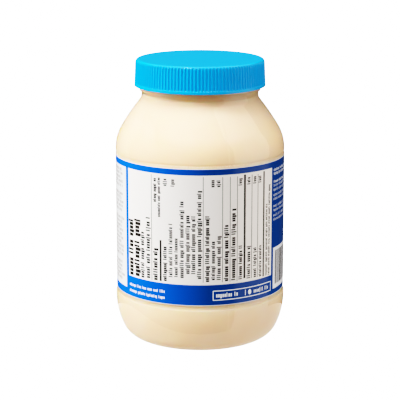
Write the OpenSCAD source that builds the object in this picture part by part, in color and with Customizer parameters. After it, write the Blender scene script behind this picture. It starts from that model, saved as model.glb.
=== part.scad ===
// Squat round mayonnaise jar: a blown clear plastic jar with a wrap-around film label,
// full of mayonnaise, under a moulded screw cap with a ribbed grip.
// Millimetres, +Z up. The origin is the middle of the ring that the jar stands on,
// and the front of the label faces -Y.

/* [Jar] */
// Diameter of the straight wall that the label is wrapped on
body_d = 96.8; // [80:0.2:117]
// Thickness of the blown wall
wall = 0.8; // [0.5:0.1:1.2]
// How far the bumper below the label stands out from the straight wall
bumper_out = 0.5; // [0.2:0.1:1]
// Height of the bumper's straight face
bumper_h = 1.6; // [1:0.1:3]
// Depth of the thin groove above the label
groove_depth = 0.45; // [0.2:0.05:0.8]
// Width of the thin groove above the label
groove_w = 2; // [1.4:0.1:3]
// Straight land between that groove and the shoulder
shoulder_land = 0.7; // [0.4:0.1:2]

/* [Heel and base] */
// Radius of the long curve from the bumper down to the heel
heel_r = 42; // [34:1:52]
// Radius of the tight corner where the heel meets the base
corner_r = 12; // [8:0.5:14.6]
// How far the outer edge of the standing ring lies inside the bumper
foot_inset = 14.9; // [14.7:0.1:18]
// Width of the flat standing ring
foot_w = 1.8; // [1:0.1:4]
// Height of the pushed-up middle of the base
push_up = 3.2; // [1:0.2:6]

/* [Shoulder and neck] */
// Radius of the curve that turns the straight wall into the shoulder
shoulder_r = 24.4; // [18:0.2:30]
// Angle from the wall at which that curve opens into the long shoulder curve
shoulder_turn = 31; // [26:0.5:33]
// Radius of the long shoulder curve
slope_r = 145; // [110:1:180]
// Radius of the inward curve at the root of the neck
neck_root_r = 4.4; // [3:0.2:6]
// Outer diameter of the neck
neck_d = 66.7; // [56:0.1:76]
// Thickness of the neck's moulded wall
neck_wall = 1.6; // [1.2:0.1:2]
// Straight neck below the carrying ring
neck_h = 1.9; // [1:0.1:4]
// How far the carrying ring stands out from the neck
ring_out = 1.1; // [0.6:0.1:1.4]
// Height of the carrying ring
ring_h = 2; // [1.4:0.1:3]

/* [Label] */
// Height of the film label
label_h = 77.8; // [60:0.2:96]
// Thickness of the film label
label_t = 0.1; // [0.06:0.02:0.2]
// Bare wall between the bumper and the label
label_low_gap = 2.3; // [0.5:0.1:5]
// Bare wall between the label and the thin groove
label_top_gap = 0.5; // [0.2:0.1:3]

/* [Contents] */
// Air between the mayonnaise and the jar's wall
fill_gap = 0.05; // [0.02:0.01:0.2]
// Air between the level of the mayonnaise and the jar's rim
headspace = 9; // [7:0.5:12]

/* [Cap] */
// Height of the cap
cap_h = 15.2; // [13:0.2:20]
// Thickness of the cap's flat top
cap_top = 1.6; // [1:0.1:2.4]
// Thickness of the cap's wall at the bottom of its grooves
cap_wall = 1.2; // [0.9:0.1:2]
// Room between the neck and the cap's wall, which the thread takes up
thread_room = 1.75; // [1.5:0.05:2.5]
// How far the ribbed skirt widens towards its lower edge
cap_taper = 0.5; // [0.2:0.05:0.9]
// Radius of the rounded edge around the cap's top
cap_edge_r = 2; // [1.2:0.1:3]
// Height of the plain band at the cap's lower edge
band_h = 1.2; // [0.8:0.1:2]
// How far the plain band stands out from the ribs
band_out = 0.12; // [0.05:0.01:0.3]
// Air between the carrying ring and the cap
cap_gap = 1.3; // [0.6:0.1:2.5]
// Number of grooves around the cap
groove_count = 120; // [60:1:130]
// Radius and depth of each half-round groove
rib_r = 0.47; // [0.3:0.01:0.55]

/* [Hidden] */
$fn = 96;

body_r = body_d / 2;
neck_r = neck_d / 2;
bumper_r = body_r + bumper_out;
foot_r = bumper_r - foot_inset;

// Heel: the corner curve and the long curve run smoothly into each other
heel_side = heel_r - foot_inset;
heel_rise = sqrt(pow(heel_r - corner_r, 2) - pow(heel_side, 2));
heel_z = corner_r + heel_rise;
heel_turn = -atan2(heel_rise, heel_side);

// Heights up the straight wall
bumper_z = heel_z + bumper_h;
bumper_step = 1.2;
panel_z = bumper_z + bumper_step;
label_z = panel_z + label_low_gap;
groove_z = label_z + label_h + label_top_gap;
shoulder_z = groove_z + groove_w + shoulder_land;

// Shoulder: each curve starts where the last one ends, in the same direction
slope_x = body_r - shoulder_r - (slope_r - shoulder_r) * cos(shoulder_turn);
slope_z = shoulder_z - (slope_r - shoulder_r) * sin(shoulder_turn);
slope_turn = acos((neck_r + neck_root_r - slope_x) / (slope_r + neck_root_r));
neck_z = slope_z + (slope_r + neck_root_r) * sin(slope_turn);

// Neck, rim and cap
bore_r = neck_r - neck_wall;
bore_step = 1.5;
lip_r = 0.5;
ring_z = neck_z + neck_h;
cap_z = ring_z + ring_h + cap_gap;
rim_z = cap_z + cap_h - cap_top;
top_z = cap_z + cap_h;
fill_z = rim_z - headspace;
cap_bore_r = neck_r + thread_room;
skirt_r = cap_bore_r + cap_wall + rib_r;
skirt_low_r = skirt_r + cap_taper;
skirt_z = cap_z + band_h;
skirt_h = top_z - cap_edge_r - skirt_z;
band_r = skirt_low_r + band_out;
band_lip = 0.3;

// Points along an arc after its first one, from angle a to angle b
function arc(x, z, r, a, b, steps) =
    [for (i = [1:steps]) let (t = a + (b - a) * i / steps) [x + r * cos(t), z + r * sin(t)]];

// Points along a smooth S from one radius and height to another, after its first one
function ease(p, q, steps) =
    [for (i = [1:steps]) let (t = i / steps)
        [p[0] + (q[0] - p[0]) * (1 - cos(180 * t)) / 2, p[1] + (q[1] - p[1]) * t]];

// Points along a shallow rounded groove in a straight wall, after its first one
function dip(r, z, depth, width, steps) =
    [for (i = [1:steps]) let (t = i / steps) [r - depth * (1 - cos(360 * t)) / 2, z + width * t]];

// Half outline of the blown body from the middle of its base up to the root of the neck,
// moved inwards by d
function body_outline(d) = concat(
    [for (i = [0:8]) let (t = i / 8) [(foot_r - foot_w) * t, d + push_up * (1 + cos(180 * t)) / 2]],
    [[foot_r, d]],
    arc(foot_r, corner_r, corner_r - d, -90, heel_turn, 8),
    arc(bumper_r - heel_r, heel_z, heel_r - d, heel_turn, 0, 8),
    [[bumper_r - d, bumper_z]],
    ease([bumper_r - d, bumper_z], [body_r - d, panel_z], 6),
    [[body_r - d, groove_z]],
    dip(body_r - d, groove_z, groove_depth, groove_w, 8),
    [[body_r - d, shoulder_z]],
    arc(body_r - shoulder_r, shoulder_z, shoulder_r - d, 0, shoulder_turn, 8),
    arc(slope_x, slope_z, slope_r - d, shoulder_turn, slope_turn, 6),
    arc(neck_r + neck_root_r, neck_z, neck_root_r + d, 180 + slope_turn, 180, 6)
);

// Half outline of the neck's outside, with the carrying ring and the rounded lip
function neck_outline() = concat(
    [[neck_r, ring_z]],
    ease([neck_r, ring_z], [neck_r + ring_out, ring_z + ring_h / 2], 5),
    ease([neck_r + ring_out, ring_z + ring_h / 2], [neck_r, ring_z + ring_h], 5),
    [[neck_r, rim_z - lip_r]],
    arc(neck_r - lip_r, rim_z - lip_r, lip_r, 0, 90, 4)
);

// Half outline of the space inside the jar, moved inwards by d from its wall, up to height top
function inner_outline(d, top) = concat(
    body_outline(wall + d),
    ease([neck_r - wall - d, neck_z], [bore_r - d, neck_z + bore_step], 5),
    [[bore_r - d, top]]
);

function reversed(list) = [for (i = [len(list) - 1:-1:0]) list[i]];

module jar() {
    color("whitesmoke", 0.35)
        rotate_extrude()
            polygon(concat(body_outline(0), neck_outline(), reversed(inner_outline(0, rim_z))));
}

module mayonnaise() {
    color("wheat")
        rotate_extrude()
            polygon(concat(inner_outline(fill_gap, fill_z), [[0, fill_z]]));
}

module label() {
    color("royalblue")
        translate([0, 0, label_z])
            rotate_extrude()
                translate([body_r, 0])
                    square([label_t, label_h]);
}

// Cap before its grip is cut: top, tapered skirt and plain lower band, hollow below
module cap_blank() {
    rotate_extrude()
        polygon(concat(
            [[cap_bore_r, rim_z], [cap_bore_r, cap_z], [band_r - band_lip, cap_z]],
            [[band_r, cap_z + band_lip], [band_r, skirt_z - band_out], [skirt_low_r, skirt_z]],
            [[skirt_r, skirt_z + skirt_h]],
            arc(skirt_r - cap_edge_r, skirt_z + skirt_h, cap_edge_r, 0, 90, 6),
            [[0, top_z], [0, rim_z]]
        ));
}

// One half-round groove with a round lower end, which leans with the skirt
// and runs out through the rounded top edge
module grip_groove() {
    translate([skirt_low_r, 0, skirt_z + 2 * rib_r])
        rotate([0, -atan2(cap_taper, skirt_h), 0]) {
            sphere(r = rib_r, $fn = 24);
            cylinder(r = rib_r, h = cap_h, $fn = 24);
        }
}

module cap() {
    color("deepskyblue")
        difference() {
            cap_blank();
            for (i = [0:groove_count - 1])
                rotate([0, 0, i * 360 / groove_count])
                    grip_groove();
        }
}

jar();
mayonnaise();
label();
cap();
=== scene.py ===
import bpy
import numpy as np
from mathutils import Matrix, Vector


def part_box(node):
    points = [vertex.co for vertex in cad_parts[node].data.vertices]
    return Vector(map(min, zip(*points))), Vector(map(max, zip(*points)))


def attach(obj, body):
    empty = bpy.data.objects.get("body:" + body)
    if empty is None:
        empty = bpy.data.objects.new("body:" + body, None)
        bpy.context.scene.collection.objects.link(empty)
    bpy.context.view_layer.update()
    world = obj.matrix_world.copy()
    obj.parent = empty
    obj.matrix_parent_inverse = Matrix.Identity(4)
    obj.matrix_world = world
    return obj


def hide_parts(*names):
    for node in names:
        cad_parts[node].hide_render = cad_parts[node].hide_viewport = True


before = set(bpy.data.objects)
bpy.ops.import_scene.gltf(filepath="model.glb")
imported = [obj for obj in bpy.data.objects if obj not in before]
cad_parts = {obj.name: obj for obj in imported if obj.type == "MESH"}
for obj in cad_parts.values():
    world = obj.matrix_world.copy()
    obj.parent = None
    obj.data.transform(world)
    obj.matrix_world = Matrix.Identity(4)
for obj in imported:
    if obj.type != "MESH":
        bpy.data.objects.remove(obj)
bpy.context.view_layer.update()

MM = 0.001

# ---- Jar ---------------------------------------------------------------------------
# The jar is clear PET, blown from a moulded preform, so its wall is thin and even below
# the neck and thicker at the neck itself. Its gloss is bright and slightly wavy, and the
# two halves of the blow mould leave a fine upright parting line on each side.
jar_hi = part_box("jar")[1]
label_lo, label_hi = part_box("label")

label_t = 0.1 * MM
body_r = label_hi.x - label_t
bumper_r = max(jar_hi.x, jar_hi.y)
rim_z = jar_hi.z
wall = 0.8 * MM
bumper_h = 1.6 * MM
bumper_step = 1.2 * MM
groove_depth = 0.45 * MM
groove_w = 2 * MM
groove_gap = 0.5 * MM
shoulder_land = 0.7 * MM
heel_r = 42 * MM
corner_r = 12 * MM
foot_r = bumper_r - 14.9 * MM
foot_w = 1.8 * MM
push_up = 3.2 * MM
shoulder_r = 24.4 * MM
shoulder_turn = 31
slope_r = 145 * MM
neck_r = 66.7 / 2 * MM
neck_root_r = 4.4 * MM
neck_wall = 1.6 * MM
neck_h = 1.9 * MM
ring_out = 1.1 * MM
ring_h = 2 * MM
bore_r = neck_r - neck_wall
bore_step = 1.5 * MM
lip_r = 0.5 * MM

heel_side = heel_r - (bumper_r - foot_r)
heel_rise = np.sqrt((heel_r - corner_r) ** 2 - heel_side**2)
heel_z = corner_r + heel_rise
heel_turn = -np.degrees(np.arctan2(heel_rise, heel_side))
bumper_z = heel_z + bumper_h
panel_z = bumper_z + bumper_step
groove_z = label_hi.z + groove_gap
shoulder_z = groove_z + groove_w + shoulder_land
slope_x = body_r - shoulder_r - (slope_r - shoulder_r) * np.cos(np.radians(shoulder_turn))
slope_z = shoulder_z - (slope_r - shoulder_r) * np.sin(np.radians(shoulder_turn))
slope_turn = np.degrees(np.arccos((neck_r + neck_root_r - slope_x) / (slope_r + neck_root_r)))
neck_z = slope_z + (slope_r + neck_root_r) * np.sin(np.radians(slope_turn))
ring_z = neck_z + neck_h


def arc(x, z, r, start, end, steps):
    """Round stretch after its first point: x + r cos t and z + r sin t, t from start to end in degrees."""
    t = np.radians(np.linspace(start, end, steps + 1)[1:])
    return np.column_stack([x + r * np.cos(t), z + r * np.sin(t)])


def ease(p, q, steps):
    """From p to q after the first point: the height runs evenly, the radius along half a cosine wave."""
    t = np.linspace(0, 1, steps + 1)[1:]
    return np.column_stack([p[0] + (q[0] - p[0]) * (1 - np.cos(np.pi * t)) / 2, p[1] + (q[1] - p[1]) * t])


def straight(p, q, steps):
    """Evenly spaced points from p to q after the first one."""
    t = np.linspace(0, 1, steps + 1)[1:, None]
    return (1 - t) * np.array(p) + t * np.array(q)


def body_outline(d):
    """Half outline of the blown body, moved inwards by d: the domed base, its standing ring,
    two heel arcs, the bumper, the straight wall with its groove, and the shoulder arcs."""
    t = np.linspace(0, 1, 17)
    dome = np.column_stack([(foot_r - foot_w) * t, d + push_up * (1 + np.cos(np.pi * t)) / 2])
    s = np.linspace(0, 1, 17)[1:]
    depth = groove_depth * (1 - np.cos(2 * np.pi * s)) / 2
    dip = np.column_stack([body_r - d - depth, groove_z + groove_w * s])
    return np.vstack([
        dome,
        [[foot_r, d]],
        arc(foot_r, corner_r, corner_r - d, -90, heel_turn, 14),
        arc(bumper_r - heel_r, heel_z, heel_r - d, heel_turn, 0, 18),
        [[bumper_r - d, bumper_z]],
        ease([bumper_r - d, bumper_z], [body_r - d, panel_z], 10),
        straight([body_r - d, panel_z], [body_r - d, groove_z], 12),
        dip,
        [[body_r - d, shoulder_z]],
        arc(body_r - shoulder_r, shoulder_z, shoulder_r - d, 0, shoulder_turn, 16),
        arc(slope_x, slope_z, slope_r - d, shoulder_turn, slope_turn, 12),
        arc(neck_r + neck_root_r, neck_z, neck_root_r + d, 180 + slope_turn, 180, 10),
    ])


def inner_outline(d, top):
    """Half outline of the space in the jar, moved inwards by d from its wall, up to the height top."""
    return np.vstack([
        body_outline(wall + d),
        ease([neck_r - wall - d, neck_z], [bore_r - d, neck_z + bore_step], 8),
        [[bore_r - d, top]],
    ])


neck_outline = np.vstack([
    [[neck_r, ring_z]],
    ease([neck_r, ring_z], [neck_r + ring_out, ring_z + ring_h / 2], 8),
    ease([neck_r + ring_out, ring_z + ring_h / 2], [neck_r, ring_z + ring_h], 8),
    [[neck_r, rim_z - lip_r]],
    arc(neck_r - lip_r, rim_z - lip_r, lip_r, 0, 90, 6),
])


def turn(outline, angles, lift=0):
    """Grid of points, one row for each outline point (r, z) and one column for each angle a
    from the front towards +X: (r sin a, -r cos a, z). lift is added to r."""
    r = np.where(outline[:, :1] > 0, outline[:, :1] + lift, 0)
    z = np.broadcast_to(outline[:, 1:], (len(outline), len(angles)))
    return np.stack([r * np.sin(angles), -r * np.cos(angles), z], axis=-1)


def ring_faces(rows, cols, first=0):
    """Quads between the rows of a grid whose columns close on themselves, numbered from first."""
    i, j = np.meshgrid(np.arange(rows - 1), np.arange(cols), indexing="ij")
    k = (j + 1) % cols
    quads = np.stack([i * cols + j, i * cols + k, (i + 1) * cols + k, (i + 1) * cols + j], axis=-1)
    return quads.reshape(-1, 4) + first


def skin(grid):
    """Points and faces of a turned solid whose first and last rows are single points on the axis."""
    rows, cols = grid.shape[0] - 2, grid.shape[1]
    points = np.vstack([grid[:1, 0], grid[1:-1].reshape(-1, 3), grid[-1:, 0]])
    j = np.arange(cols)
    k = (j + 1) % cols
    last = 1 + (rows - 1) * cols
    low = np.stack([np.zeros(cols, int), 1 + k, 1 + j], axis=-1)
    high = np.stack([last + j, last + k, np.full(cols, len(points) - 1)], axis=-1)
    return points, ring_faces(rows, cols, 1).tolist() + low.tolist() + high.tolist()


def make_piece(name, points, faces, material, crease=40):
    """One finished mesh piece with its place in its points, smooth up to edges of crease degrees."""
    mesh = bpy.data.meshes.new(name)
    mesh.from_pydata(points, [], faces)
    mesh.shade_smooth()
    mesh.set_sharp_from_angle(angle=np.radians(crease))
    mesh.materials.append(material)
    piece = bpy.data.objects.new(name, mesh)
    bpy.context.scene.collection.objects.link(piece)
    return piece


def colour(code):
    """sRGB hex to linear: each channel c becomes c / 12.92 below 0.04045, else ((c + 0.055) / 1.055)^2.4."""
    c = np.array([int(code[i : i + 2], 16) / 255 for i in (1, 3, 5)])
    rgb = np.where(c < 0.04045, c / 12.92, ((c + 0.055) / 1.055) ** 2.4)
    return (*rgb.tolist(), 1.0)


def new_material(name):
    """A material with an empty node tree but for its output."""
    material = bpy.data.materials.new(name)
    material.use_nodes = True
    material.node_tree.nodes.clear()
    add_node(material, "OutputMaterial", {})
    return material


def add_node(material, kind, inputs, **settings):
    """Add a shader node with its settings; inputs maps a socket to a value or to another node's output."""
    tree = material.node_tree
    node = tree.nodes.new("ShaderNode" + kind)
    for key, value in settings.items():
        setattr(node, key, value)
    for key, value in inputs.items():
        if isinstance(value, bpy.types.NodeSocket):
            tree.links.new(value, node.inputs[key])
        else:
            node.inputs[key].default_value = value
    return node


def show(material, shader):
    """Link a shader to the material's surface output."""
    output = next(n for n in material.node_tree.nodes if n.type == "OUTPUT_MATERIAL")
    material.node_tree.links.new(shader.outputs[0], output.inputs["Surface"])


# Clear PET, blown: IOR 1.575, nearly colourless. The wall follows the mould closely, so its
# mirror image only bends a little, in waves some 16 mm long and about 0.01 mm high.
pet = new_material("blown_clear_pet")
place = add_node(pet, "TexCoord", {})
waves = add_node(pet, "TexNoise", {
    "Vector": place.outputs["Object"], "Scale": 1 / (16 * MM), "Detail": 1.0,
})
relief = add_node(pet, "Bump", {"Height": waves.outputs["Fac"], "Strength": 1.0, "Distance": 0.03 * MM})
show(pet, add_node(pet, "BsdfPrincipled", {
    "Base Color": colour("#FBFDFC"),
    "Roughness": 0.03,
    "IOR": 1.575,
    "Transmission Weight": 1.0,
    "Normal": relief.outputs[0],
}))

# The parting lines need columns close together, the rest of the wall does not.
parting_at = np.radians([19, 199])
parting_h = 0.06 * MM
parting_w = 0.22 * MM
near = np.linspace(-4, 4, 17) * parting_w / body_r
round_angles = np.unique(np.concatenate([
    np.linspace(0, 2 * np.pi, 240, endpoint=False),
    *(at + near for at in parting_at),
]))

jar_outline = np.vstack([body_outline(0), neck_outline, inner_outline(0, rim_z)[::-1]])
outside = np.arange(len(jar_outline)) < len(body_outline(0))
rises = np.clip((jar_outline[:, 1] - 1 * MM) / (4 * MM), 0, 1) * outside
across = sum(np.exp(-(((round_angles - at) * body_r / parting_w) ** 2)) for at in parting_at)
jar = make_piece(
    "jar_shell", *skin(turn(jar_outline, round_angles, parting_h * rises[:, None] * across)), pet
)
jar.visible_shadow = False
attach(jar, "root")
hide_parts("jar")

# ---- Mayonnaise --------------------------------------------------------------------
# Thick pale cream that fills the jar to just below its rim and wets the whole wall, so it
# is seen through the plastic with no air between. Light goes a little way into it, which
# warms its shaded side.
wet = 0.15 * MM
mayo_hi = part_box("mayonnaise")[1]
# An emulsion of oil in water, whipped: IOR 1.46, satin. Light spreads up to 8 mm inside it, red
# the furthest, and its cream colour drifts a little over folds some 22 mm wide.
cream = new_material("mayonnaise_emulsion")
place = add_node(cream, "TexCoord", {})
folds = add_node(cream, "TexNoise", {
    "Vector": place.outputs["Object"], "Scale": 1 / (22 * MM), "Detail": 3.0, "Distortion": 0.6,
})
tint = add_node(cream, "ValToRGB", {"Fac": folds.outputs["Fac"]})
tint.color_ramp.elements[0].position = 0.35
tint.color_ramp.elements[0].color = colour("#F1D2AA")
tint.color_ramp.elements[1].position = 0.65
tint.color_ramp.elements[1].color = colour("#F5D8B5")
show(cream, add_node(cream, "BsdfPrincipled", {
    "Base Color": tint.outputs["Color"],
    "Roughness": 0.45,
    "IOR": 1.46,
    "Subsurface Weight": 1.0,
    "Subsurface Radius": (1.0, 0.7, 0.35),
    "Subsurface Scale": 8 * MM,
}))
mayo_outline = np.vstack([inner_outline(-wet, mayo_hi.z), [[0, mayo_hi.z]]])
mayo_angles = np.linspace(0, 2 * np.pi, 240, endpoint=False)
mayo = make_piece("mayonnaise_fill", *skin(turn(mayo_outline, mayo_angles)), cream)
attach(mayo, "root")
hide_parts("mayonnaise")

# ---- Label film --------------------------------------------------------------------
# One strip of white polypropylene film, wrapped tight round the straight wall and printed
# on its face. The unprinted film shows as a hairline at the top and bottom edges.
film_t = 0.06 * MM
film_gap = 0.01 * MM
film_r = body_r + film_t


def gloss_film(name, code):
    """Printed and varnished film in one colour: a smooth gloss over the ink, with the faint
    ripples of a film wrapped under tension, about 9 mm apart and 0.01 mm high."""
    material = new_material(name)
    place = add_node(material, "TexCoord", {})
    ripples = add_node(material, "TexNoise", {
        "Vector": place.outputs["Object"], "Scale": 1 / (9 * MM), "Detail": 2.0,
    })
    relief = add_node(material, "Bump", {
        "Height": ripples.outputs["Fac"], "Strength": 1.0, "Distance": 0.02 * MM,
    })
    show(material, add_node(material, "BsdfPrincipled", {
        "Base Color": colour(code),
        "Roughness": 0.22,
        "IOR": 1.49,
        "Specular IOR Level": 0.3,
        "Normal": relief.outputs[0],
    }))
    return material


label_h = label_hi.z - label_lo.z
strip = np.array([
    [body_r + film_gap, label_lo.z],
    [film_r, label_lo.z],
    [film_r, label_hi.z],
    [body_r + film_gap, label_hi.z],
])
columns = 240
grid = turn(strip, np.linspace(0, 2 * np.pi, columns, endpoint=False))
closing = ring_faces(2, columns)
closing = np.where(closing < columns, closing + 3 * columns, closing - columns)
film = make_piece(
    "label_film_strip",
    grid.reshape(-1, 3),
    ring_faces(4, columns).tolist() + closing.tolist(),
    gloss_film("white_polypropylene_film", "#F4F5F6"),
)
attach(film, "root")
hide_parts("label")

# ---- Label print -------------------------------------------------------------------
# Flat inks on the film: blue bands and fields, a pale table and, over those, the dark and
# the white marks. Places on the label are in millimetres, along it to the right of the
# front's middle and up from its lower edge. Each ink lies at one of three levels.
ink_t = 0.02 * MM
ON_FILM, ON_GROUND, ON_WHITE = 0, 1, 2


def quads_of(number):
    """Quads between the rows and columns of a grid of point numbers."""
    a, b, c, d = number[:-1, :-1], number[:-1, 1:], number[1:, 1:], number[1:, :-1]
    return np.stack([a, b, c, d], axis=-1).reshape(-1, 4)


def slabs(left, right, height, level):
    """Thin closed slabs of ink wrapped on the label, one for each row of the arrays, whose columns
    give the left and right ends in mm at each height in mm. A point at u along and v up lies at
    the angle a = u / r: (r sin a, -r cos a, v), with one more point about each 0.8 mm along."""
    points, faces, count = [], [], 0
    steps = np.maximum(1, np.ceil((right - left).max(axis=1) / 0.8)).astype(int)
    for n in np.unique(steps):
        pick = steps == n
        t = np.linspace(0, 1, n + 1)[:, None]
        u = left[pick][..., None, None] * (1 - t) + right[pick][..., None, None] * t
        r = film_r + ink_t * (level + np.array([0.0, 1.0]))
        v = height[pick][..., None, None] * MM + label_lo.z
        angle, r, v = np.broadcast_arrays(u * MM / label_hi.x, r, v)
        points.append(np.stack([r * np.sin(angle), -r * np.cos(angle), v], axis=-1).reshape(-1, 3))
        number = np.arange(angle[0].size).reshape(angle[0].shape)
        inner, outer = number[..., 0], number[..., 1]
        slab = np.vstack([
            quads_of(outer),
            quads_of(inner)[:, ::-1],
            quads_of(np.stack([inner[0], outer[0]])),
            quads_of(np.stack([outer[-1], inner[-1]])),
            quads_of(np.stack([outer[:, 0], inner[:, 0]])),
            quads_of(np.stack([inner[:, -1], outer[:, -1]])),
        ])
        start = count + np.arange(pick.sum())[:, None, None] * number.size
        faces.append((slab + start).reshape(-1, 4))
        count += len(points[-1])
    return np.vstack(points), np.vstack(faces).tolist()


def boxes(places, level):
    """Slabs for upright boxes, each (left, right, low, high) in mm. Each is drawn smaller all round
    by a hair, so that boxes side by side stay closed shapes of their own."""
    hair = 0.005
    left, right, low, high = np.asarray(places, float).T + hair * np.array([[1], [-1], [1], [-1]])
    return slabs(np.stack([left, left], 1), np.stack([right, right], 1), np.stack([low, high], 1), level)


def oval(middle, centre, half_w, half_h, level, power=2.0, rows=40):
    """Slab for an oval: |u / w|^power + |v / h|^power = 1, in mm."""
    s = -np.cos(np.linspace(0.02, np.pi - 0.02, rows))
    w = half_w * (1 - np.abs(s) ** power) ** (1 / power)
    return slabs((middle - w)[None], (middle + w)[None], (centre + half_h * s)[None], level)


def join(*shapes):
    """One list of points and one of faces from several."""
    starts = np.cumsum([0] + [len(points) for points, _ in shapes])
    moved = [[k + start for k in face] for start, (_, faces) in zip(starts, shapes) for face in faces]
    return np.vstack([points for points, _ in shapes]), moved


def print_ink(name, shape, material):
    """One ink as one piece on the label."""
    ink = make_piece(name, *shape, material)
    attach(ink, "root")
    return ink


# Heights and distances on the label in mm: the white table on the front, the white ground to
# the left of it, and the blue field that runs from its right edge round the back.
label_tall = label_h / MM
label_round = 2 * np.pi * label_hi.x / MM
hairline = 0.35
top_band = 3.6
bottom_band = 12.0
low_band = 4.4
table_left = -47.4
table_right = 47.6
stripe_w = 2.5
ground_w = 35
ground_left = table_left - stripe_w - ground_w
band_low = label_tall - top_band
blue_places = [
    (-label_round / 2, label_round / 2, band_low, label_tall - hairline),
    (table_left - stripe_w, table_right, hairline, bottom_band),
    (table_left - stripe_w, table_left, bottom_band, band_low),
    (ground_left, table_left - stripe_w, hairline, low_band),
    (table_right, ground_left + label_round, hairline, band_low),
]

# Blue ink that runs round the label from azure at the left, on the side of the key lamp and the left soft
# box, to a deep blue elsewhere. The azure is partly the print's own shading and partly painted light from
# those lamps. The share of azure grows with the dot product of the place on the label and a level direction.
blue = gloss_film("blue_ink_with_painted_light_under_varnish", "#003C9A")
azure_and_lamp_side_at = np.radians(-80)
place = add_node(blue, "TexCoord", {})
turned = add_node(blue, "VectorMath", {
    0: place.outputs["Object"],
    1: (np.sin(azure_and_lamp_side_at) / label_hi.x, -np.cos(azure_and_lamp_side_at) / label_hi.x, 0),
}, operation="DOT_PRODUCT")
# Painted light: the ramp makes the blue lighter on the side towards the lamps.
print_and_painted_light_ramp = add_node(blue, "ValToRGB", {"Fac": turned.outputs["Value"]})
print_and_painted_light_ramp.color_ramp.elements[0].position = 0.08
print_and_painted_light_ramp.color_ramp.elements[0].color = colour("#003F8A")
print_and_painted_light_ramp.color_ramp.elements[1].position = 0.9
print_and_painted_light_ramp.color_ramp.elements[1].color = colour("#0062EC")
blue_shader = next(n for n in blue.node_tree.nodes if n.type == "BSDF_PRINCIPLED")
blue.node_tree.links.new(print_and_painted_light_ramp.outputs["Color"], blue_shader.inputs["Base Color"])
print_ink("label_blue_ink", boxes(blue_places, ON_FILM), blue)

# The table is a pale ground inside a white hairline.
table_ground = [
    (table_left + hairline, table_right - hairline, bottom_band + hairline, band_low - hairline),
]
ground = gloss_film("pale_grey_ink_under_varnish", "#FBF6F1")
print_ink("label_table_ground", boxes(table_ground, ON_FILM), ground)

# Lines of print are drawn as rows of plain stems with no letters in them. A line's own
# direction is along it, and its stems rise from its base and now and then drop below it.
dice = np.random.default_rng(11)
BOLD, PLAIN = 0.8, 0.72


def stems(first, last, base, tall, weight, upwards=False):
    """Boxes of one line of print from first to last, tall from its highest to its lowest mark.
    Stems stand 0.46 of that apart, in words of four to nine with one left out between them. Three
    in ten are higher and thinner and one in eight drops lower. upwards turns the line to read up."""
    pitch = 0.46 * tall
    at = np.arange(first, last - pitch, pitch)
    spaces = np.cumsum(dice.integers(5, 11, len(at)))
    at = at[~np.isin(np.arange(len(at)), spaces)]
    chance = dice.random((2, len(at)))
    high = base + tall * np.where(chance[0] < 0.3, 0.94, 0.72)
    low = base - tall * np.where(chance[1] < 0.12, 0.2, 0)
    end = at + weight * pitch * np.where(chance[0] < 0.3, 0.65, 1.05)
    if upwards:
        return np.column_stack([2 * base - high, 2 * base - low, at, end])
    return np.column_stack([at, end, low, high])


# Lines of the table, which reads up the label: weight, base from the front's middle, height of
# the print, and where it starts and ends up the label, all in mm.
table_lines = [
    (BOLD, -42.9, 4.5, 12.9, 46.5), (BOLD, -37.6, 4.6, 13.2, 47.5),
    (PLAIN, -34.0, 2.9, 13.2, 40.0), (PLAIN, -29.7, 3.1, 13.6, 50.5),
    (BOLD, -25.4, 2.1, 58.0, 72.0), (BOLD, -24.7, 3.1, 13.2, 33.0), (BOLD, -22.9, 1.8, 49.7, 72.3),
    (BOLD, -19.0, 2.4, 13.4, 35.3), (PLAIN, -15.6, 2.4, 16.0, 47.0), (PLAIN, -12.5, 2.2, 16.3, 38.7),
    (PLAIN, -9.1, 2.5, 16.0, 60.4), (PLAIN, -5.8, 2.5, 18.5, 52.0), (PLAIN, -2.6, 2.5, 18.5, 52.1),
    (PLAIN, 0.7, 2.6, 15.7, 66.2), (BOLD, 5.1, 2.5, 13.9, 52.1), (PLAIN, 8.3, 2.3, 14.9, 37.3),
    (PLAIN, 11.6, 2.5, 14.8, 41.1), (BOLD, 16.0, 2.7, 13.8, 46.5), (BOLD, 20.2, 2.7, 14.0, 55.2),
    (BOLD, 24.4, 2.4, 14.0, 34.8), (PLAIN, 29.9, 2.6, 13.8, 34.0), (PLAIN, 34.2, 2.4, 13.7, 31.7),
    (PLAIN, 38.2, 2.2, 13.4, 32.7), (PLAIN, 43.2, 1.7, 13.0, 54.9), (PLAIN, 45.7, 1.7, 12.8, 65.9),
]
value_bases = [-19.0, -14.4, 8.0, 11.2, 24.1, 29.6, 33.8, 37.7]
value_low = 67.6
value_high = 72.6
# Rules between the lines: base, width, and where they start and end.
table_rules = [
    (-28.5, 0.3, 12.8, 73.4), (-22.7, 1.15, 13.0, 36.6), (1.75, 0.3, 13.6, 73.5),
    (12.6, 0.3, 13.4, 73.1), (17.0, 0.3, 13.4, 73.0), (21.3, 0.3, 13.2, 72.8),
    (26.0, 1.2, 14.3, 73.4), (30.8, 0.35, 13.6, 72.8), (35.2, 0.35, 13.4, 72.4), (40.0, 1.1, 12.8, 73.4),
]
dark_places = [
    stems(start, end, base, tall, weight, True) for weight, base, tall, start, end in table_lines
]
dark_places += [stems(value_low, value_high, base, 2.3, PLAIN, True) for base in value_bases]
dark_places += [[(at - w / 2, at + w / 2, low, high) for at, w, low, high in table_rules]]
dark = gloss_film("black_ink_under_varnish", "#2C2724")
print_ink("label_dark_ink", boxes(np.vstack(dark_places), ON_GROUND), dark)

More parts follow.
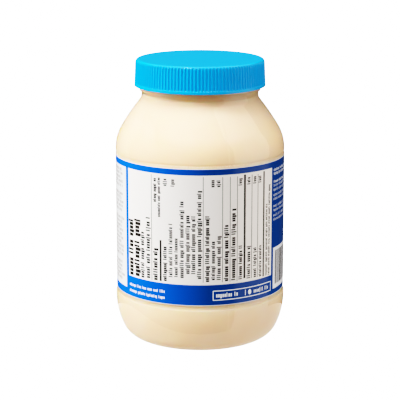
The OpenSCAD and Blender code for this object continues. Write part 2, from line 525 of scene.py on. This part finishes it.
# On the white ground to the left stand short lines of small grey print in paragraphs.
paragraph_gaps = [(19, 21), (43, 46), (58, 60.5)]
ground_lines = [
    v for v in np.arange(7.5, 72, 2.35) if not any(low < v < high for low, high in paragraph_gaps)
]
ground_right = table_left - stripe_w - 1.5
grey_places = [
    stems(ground_left + 3, ground_right - 5 * dice.random(), v, 2.0, PLAIN) for v in ground_lines
]
grey = gloss_film("grey_ink_under_varnish", "#B4AFAC")
print_ink("label_grey_ink", boxes(np.vstack(grey_places), ON_FILM), grey)

# White print on the blue: two lines and an outlined box with a small oval on the bottom
# band, lines of small print and a white ground for the striped code on the blue field, and a
# plain oval on the back.
box_left, box_right, box_low, box_high, box_line = 7.1, 47.2, 2.9, 8.7, 0.5
white_places = [
    stems(table_left + 0.8, -19.5, 6.4, 1.8, 0.7),
    stems(table_left + 0.8, -19.0, 2.9, 1.8, 0.7),
    stems(9.0, 23.0, 4.7, 2.6, 0.7),
    stems(32.6, 45.4, 4.7, 2.4, 0.6),
    [
        (box_left, box_right, box_low, box_low + box_line),
        (box_left, box_right, box_high - box_line, box_high),
        (box_left, box_left + box_line, box_low + box_line, box_high - box_line),
        (box_right - box_line, box_right, box_low + box_line, box_high - box_line),
        (26.5, 27.0, 4.2, 7.4),
    ],
]
field_left = 49.6
field_right = 84
field_lines = [71.8, 69.6, 65.0, 62.8, 60.4, 57.4, 55.0, 51.0, 48.6, 45.6, 43.2]
bold_lines = 3
for k, v in enumerate(field_lines):
    end = field_right - 9 * dice.random()
    weight = 0.55 if k < bold_lines else 0.32
    white_places.append(stems(field_left, end, v, 1.7, weight))
code_left, code_right, code_low, code_high = 49.6, 84, 3.2, 27.4
white_places.append([(code_left, code_right, code_low, code_high)])
white = gloss_film("white_ink_under_varnish", "#F1F4FA")
white_shapes = join(
    boxes(np.vstack(white_places), ON_GROUND),
    oval(29.7, 5.8, 1.1, 1.5, ON_GROUND),
    oval(label_round / 2, 41, 38, 25, ON_GROUND, 2.4),
)
print_ink("label_white_ink", white_shapes, white)

# The striped code is 59 bars and spaces of one to three modules, and its bars are broadened
# by what ink spreads. It codes nothing.
ink_spread = 1.5
code_margin = 2.4
widths = dice.integers(1, 4, 59).astype(float)
widths[::2] *= ink_spread
edges = np.concatenate([[0], np.cumsum(widths)])
edges = code_left + code_margin + edges * (code_right - code_left - 2 * code_margin) / edges[-1]
code_bars = [
    (left, right, code_low + code_margin, code_high - 2) for left, right in zip(edges[:-1:2], edges[1::2])
]
black = gloss_film("black_ink_for_code", "#34302E")
print_ink("label_code_bars", boxes(code_bars, ON_WHITE), black)

# ---- Cap ---------------------------------------------------------------------------
# An injection-moulded polypropylene cap in bright sky blue. Its skirt widens a little
# downwards and has round grooves close together between narrow ribs, which run out
# through the rounded top edge; a plain band finishes its lower edge.
cap_lo, cap_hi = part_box("cap")
cap_top_z = cap_hi.z
cap_bottom_z = cap_lo.z
cap_out_r = max(cap_hi.x, cap_hi.y)
band_out = 0.12 * MM
band_h = 1.2 * MM
band_lip = 0.3 * MM
cap_taper = 0.5 * MM
cap_edge_r = 2 * MM
thread_room = 1.75 * MM
skirt_low_r = cap_out_r - band_out
skirt_r = skirt_low_r - cap_taper
skirt_z = cap_bottom_z + band_h
skirt_top = cap_top_z - cap_edge_r
cap_bore_r = neck_r + thread_room
rib_count = 120
groove_d = 0.6 * MM
# Half a groove's width as a share of the distance from rib to rib
groove_half = 0.36
steps_per_rib = 12
# The skirt's lower edge, and a height by which the grooves have reached their full depth
skirt_foot = [skirt_low_r, skirt_z + 0.1 * MM]
full_depth_at = [skirt_low_r - cap_taper * 0.1, skirt_z + 1.2 * MM]

inside = np.vstack([
    [[0, rim_z]],
    [[cap_bore_r, rim_z]],
    [[cap_bore_r, cap_bottom_z]],
    [[cap_out_r - band_lip, cap_bottom_z]],
])
outer = np.vstack([
    arc(cap_out_r - band_lip, cap_bottom_z + band_lip, band_lip, -90, 0, 4),
    [[cap_out_r, skirt_z - band_out]],
    ease([cap_out_r, skirt_z - band_out], skirt_foot, 4),
    straight(skirt_foot, full_depth_at, 8),
    straight(full_depth_at, [skirt_r, skirt_top], 6),
    arc(skirt_r - cap_edge_r, skirt_top, cap_edge_r, 0, 90, 20),
    [[skirt_r - cap_edge_r - 1 * MM, cap_top_z]],
    [[0, cap_top_z]],
])
cap_outline = np.vstack([inside, outer])
cap_angles = np.linspace(0, 2 * np.pi, rib_count * steps_per_rib, endpoint=False)
phase = (cap_angles * rib_count / (2 * np.pi) + 0.5) % 1 - 0.5
groove = np.sqrt(np.clip(1 - (phase / groove_half) ** 2, 0, 1))
z = cap_outline[:, 1]
lean = skirt_low_r - cap_taper * (z - skirt_z) / (skirt_top - skirt_z)
start_z = skirt_z + 0.35 * MM
fade = np.sqrt(np.clip(1 - (1 - np.clip((z - start_z) / groove_d, 0, 1)) ** 2, 0, 1))
bottom = lean[:, None] - groove_d * groove[None, :] * fade[:, None]
cut = np.minimum(bottom - cap_outline[:, :1], 0)
cut[: len(inside)] = 0

# Moulded polypropylene: IOR 1.49, an even satin whose sheen drifts a little in patches some
# 12 mm across. The mould's grain is drawn 0.6 mm coarse, as the real one is too fine to show.
cap_plastic = new_material("moulded_polypropylene")
place = add_node(cap_plastic, "TexCoord", {})
cloud = add_node(cap_plastic, "TexNoise", {
    "Vector": place.outputs["Object"], "Scale": 1 / (12 * MM), "Detail": 2.0,
})
sheen = add_node(cap_plastic, "MapRange", {"Value": cloud.outputs["Fac"], "To Min": 0.16, "To Max": 0.22})
grain = add_node(cap_plastic, "TexNoise", {
    "Vector": place.outputs["Object"], "Scale": 1 / (0.6 * MM), "Detail": 1.0,
})
relief = add_node(cap_plastic, "Bump", {
    "Height": grain.outputs["Fac"], "Strength": 1.0, "Distance": 0.006 * MM,
})
show(cap_plastic, add_node(cap_plastic, "BsdfPrincipled", {
    "Base Color": colour("#00A0F4"),
    "Roughness": sheen.outputs["Result"],
    "IOR": 1.49,
    "Specular IOR Level": 0.32,
    "Normal": relief.outputs[0],
}))
cap = make_piece("cap_shell", *skin(turn(cap_outline, cap_angles, cut)), cap_plastic)
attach(cap, "root")
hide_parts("cap")

# ---- Stage and light ---------------------------------------------------------------
# A seamless white cove all round as floor and backdrop. The key lamp and a large soft box
# stand on the left, a tall warm soft box on the right, a fill in front and a small lamp above.
cove_r, cove_bend, cove_h = 3.4, 1.0, 4.0
cove_columns = 96
cove_line = np.vstack([
    [[0, 0]],
    [[0.5, 0]],
    [[cove_r - cove_bend, 0]],
    arc(cove_r - cove_bend, cove_bend, cove_bend, -90, 0, 24),
    [[cove_r, cove_h]],
])
cove_grid = turn(cove_line, np.linspace(0, 2 * np.pi, cove_columns, endpoint=False))
cove_points = np.vstack([cove_grid[:1, 0], cove_grid[1:].reshape(-1, 3)])
cove_faces = [face[::-1] for face in ring_faces(len(cove_line) - 1, cove_columns, 1).tolist()]
cove_faces += [[0, 1 + j, 1 + (j + 1) % cove_columns] for j in range(cove_columns)]
white_cove = new_material("white_matt_board")
# The board lights the jar only from an oval pool of light under it, which is wide towards the
# two soft boxes; further off the board is seen but gives no light.
pool_half_w, pool_half_d = 0.11, 0.058
place = add_node(white_cove, "TexCoord", {})
oval_place = add_node(white_cove, "VectorMath", {
    0: place.outputs["Object"], 1: (1 / pool_half_w, 1 / pool_half_d, 0),
}, operation="MULTIPLY")
reach = add_node(white_cove, "VectorMath", {0: oval_place.outputs["Vector"]}, operation="LENGTH")
far = add_node(white_cove, "Math", {0: reach.outputs["Value"], 1: 1.0}, operation="GREATER_THAN")
path = add_node(white_cove, "LightPath", {})
glow = add_node(white_cove, "MixRGB", {
    "Fac": path.outputs["Is Camera Ray"], "Color1": (1.3, 1.18, 1.05, 1), "Color2": (4, 4, 4, 1),
})
board = add_node(white_cove, "Emission", {"Color": glow.outputs["Color"], "Strength": 1.0})
away = add_node(white_cove, "BsdfTransparent", {})
seen = add_node(white_cove, "Math", {0: 1.0, 1: path.outputs["Is Camera Ray"]}, operation="SUBTRACT")
hidden = add_node(white_cove, "Math", {0: far.outputs[0], 1: seen.outputs[0]}, operation="MULTIPLY")
show(white_cove, add_node(white_cove, "MixShader", {
    0: hidden.outputs[0], 1: board.outputs[0], 2: away.outputs[0],
}))
floor = make_piece("floor", cove_points, cove_faces, white_cove)
floor.visible_shadow = False


def soft_box(name, azimuth, elevation, distance, width, height, power, aim=(0, 0, 0.08)):
    """An area light at that azimuth (from the front towards +X) and elevation, turned to the jar."""
    data = bpy.data.lights.new(name, "AREA")
    data.shape = "RECTANGLE"
    data.size, data.size_y, data.energy = width, height, power
    light = bpy.data.objects.new(name, data)
    bpy.context.scene.collection.objects.link(light)
    a, e = np.radians([azimuth, elevation])
    light.location = (
        aim[0] + distance * np.cos(e) * np.sin(a),
        aim[1] - distance * np.cos(e) * np.cos(a),
        aim[2] + distance * np.sin(e),
    )
    light.rotation_euler = (np.pi / 2 - e, 0, a)
    return light


soft_box("key_lamp", -68, 38, 1.2, 0.4, 0.4, 14.5).visible_glossy = False
soft_box("left_soft_box", -84, 20, 1.2, 0.9, 1.0, 16.0).visible_glossy = False
soft_box("front_fill", -15, 45, 1.6, 0.8, 0.8, 9.5).visible_glossy = False
soft_box("right_soft_box", 76, 7, 1.2, 1.39, 4.6, 28.0).data.color = (1.0, 0.93, 0.86)
soft_box("top_lamp", -45, 72, 1.2, 0.22, 0.22, 6.0)

# The studio around is bright overhead and dim towards the floor.
world = bpy.data.worlds.new("studio")
bpy.context.scene.world = world
world.use_nodes = True
sky = world.node_tree
direction = sky.nodes.new("ShaderNodeTexCoord")
split = sky.nodes.new("ShaderNodeSeparateXYZ")
ramp = sky.nodes.new("ShaderNodeValToRGB")
sky.links.new(direction.outputs["Generated"], split.inputs[0])
sky.links.new(split.outputs["Z"], ramp.inputs["Fac"])
sky.links.new(ramp.outputs["Color"], sky.nodes["Background"].inputs["Color"])
ramp.color_ramp.elements[0].position = 0.5
ramp.color_ramp.elements[0].color = (0.07, 0.07, 0.07, 1)
ramp.color_ramp.elements[1].color = (2.3, 2.3, 2.3, 1)

# The film's response: a short toe, straight up to mid grey, then a long shoulder that reaches
# white at a light of four.
bpy.context.scene.view_settings.view_transform = "Standard"
bpy.context.scene.view_settings.use_curve_mapping = True
response = bpy.context.scene.view_settings.curve_mapping
white_level = 4.0
response.white_level = (white_level,) * 3
response_points = [
    (0.02, 0.006), (0.06, 0.035), (0.15, 0.125), (0.3, 0.3),
    (0.6, 0.54), (1.0, 0.73), (1.6, 0.87), (2.5, 0.96),
]
for light_in, light_out in response_points:
    response.curves[3].points.new(light_in / white_level, light_out)
response.update()

# ---- Camera ------------------------------------------------------------------------
# Just above the cap's height and looking down 13 degrees, through a long lens.
camera_data = bpy.data.cameras.new("camera")
camera_data.lens = 143.15
camera_data.sensor_width = 36
camera_data.clip_end = 50
camera = bpy.data.objects.new("camera", camera_data)
bpy.context.scene.collection.objects.link(camera)
camera.location = (0, -0.8972, 0.2865)
camera.rotation_euler = (np.radians(90 - 13), 0, 0)
bpy.context.scene.camera = camera

bpy.context.view_layer.update()
